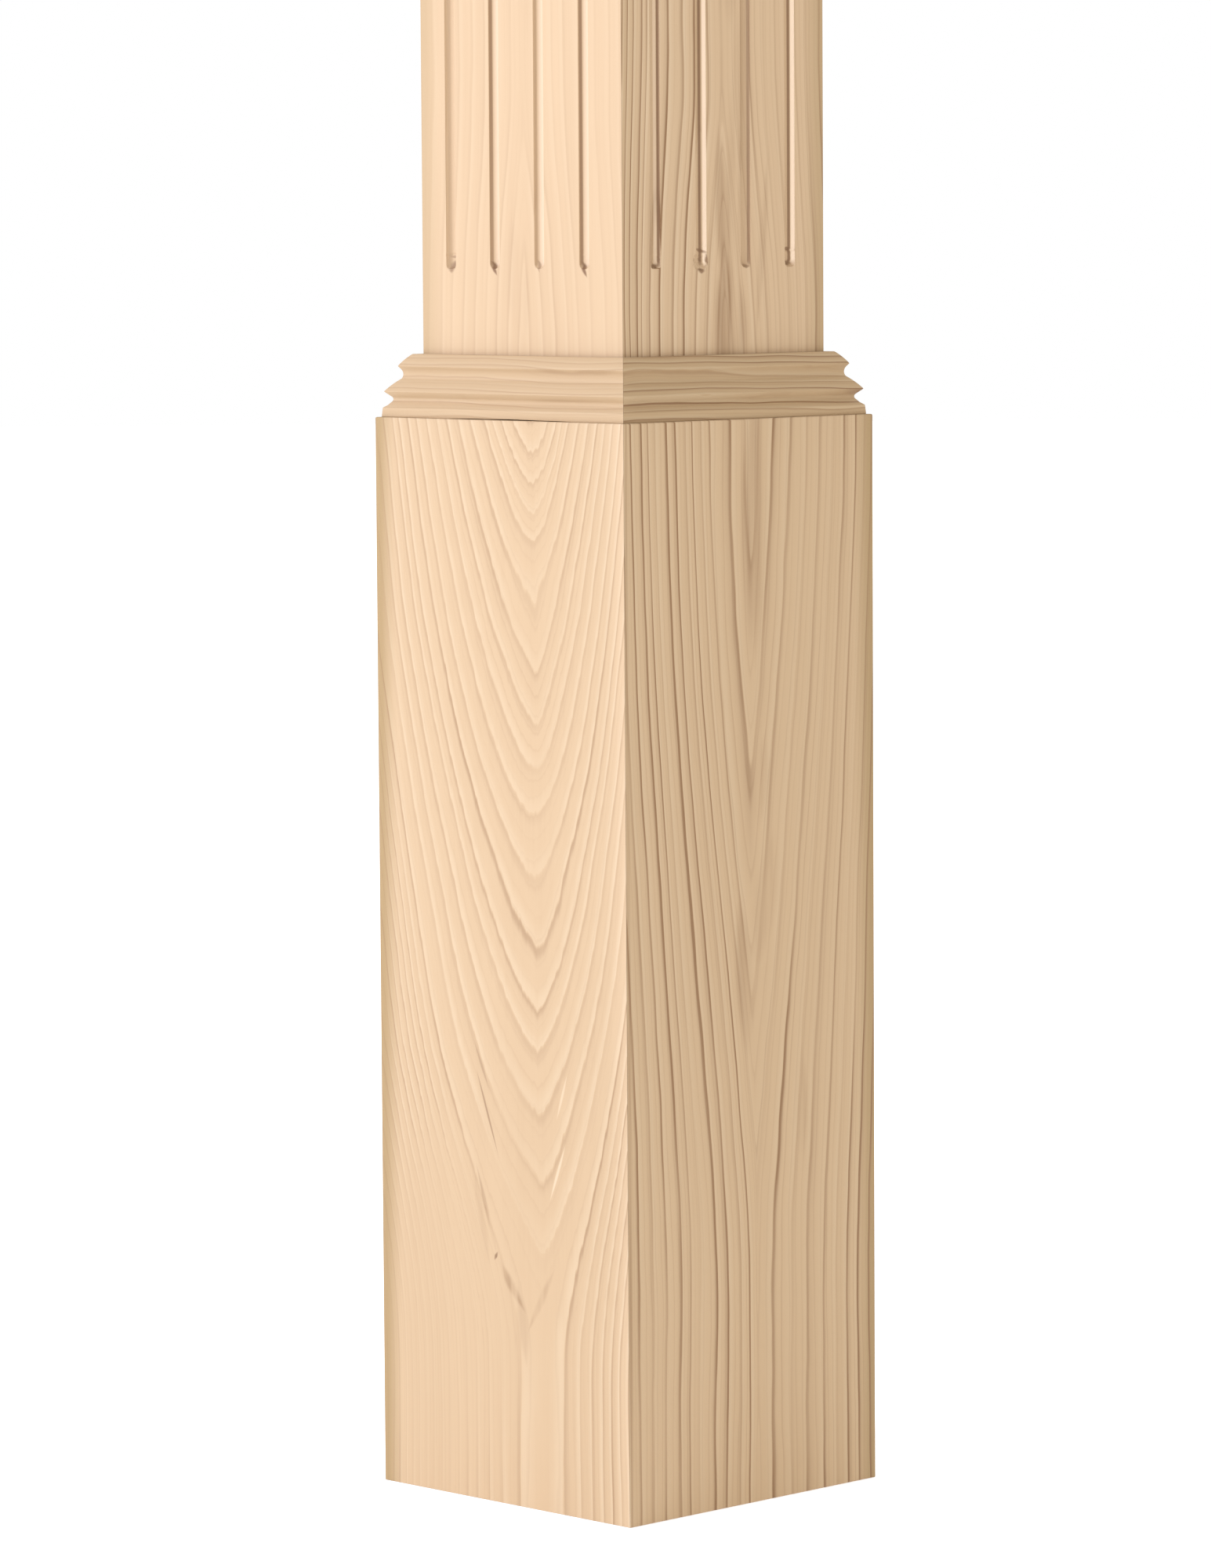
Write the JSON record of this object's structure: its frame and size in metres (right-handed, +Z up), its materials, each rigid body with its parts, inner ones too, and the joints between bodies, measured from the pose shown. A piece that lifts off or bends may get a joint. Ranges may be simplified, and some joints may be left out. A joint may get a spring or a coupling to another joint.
{
  "type": "box newel post",
  "caption": "Square hollow box newel post with a fluted shaft, a wider plain base, a mitred moulding collar and a low pyramid cap.",
  "frame": {"origin": "middle of the underside, on the floor the post stands on", "axes": "+Z up along the post, -Y out of the front face, +X out of the right face"},
  "size_m": [0.165, 0.165, 1.219],
  "materials": {
    "base_wood": "unfinished, sanded softwood with flat-sawn figure",
    "shaft_wood": "unfinished, sanded softwood with straight grain",
    "moulding_wood": "unfinished, machined softwood with grain along its length",
    "cap_wood": "unfinished, sanded softwood"
  },
  "bodies": {
    "root": {"base_board_front": "base_wood", "base_board_right": "base_wood", "base_board_back": "base_wood", "base_board_left": "base_wood", "shaft_board_front": "shaft_wood", "shaft_board_right": "shaft_wood", "shaft_board_back": "shaft_wood", "shaft_board_left": "shaft_wood", "collar_moulding_front": "moulding_wood", "collar_moulding_right": "moulding_wood", "collar_moulding_back": "moulding_wood", "collar_moulding_left": "moulding_wood", "cap_moulding_front": "moulding_wood", "cap_moulding_right": "moulding_wood", "cap_moulding_back": "moulding_wood", "cap_moulding_left": "moulding_wood", "cap": "cap_wood"}
  },
  "joints": []
}
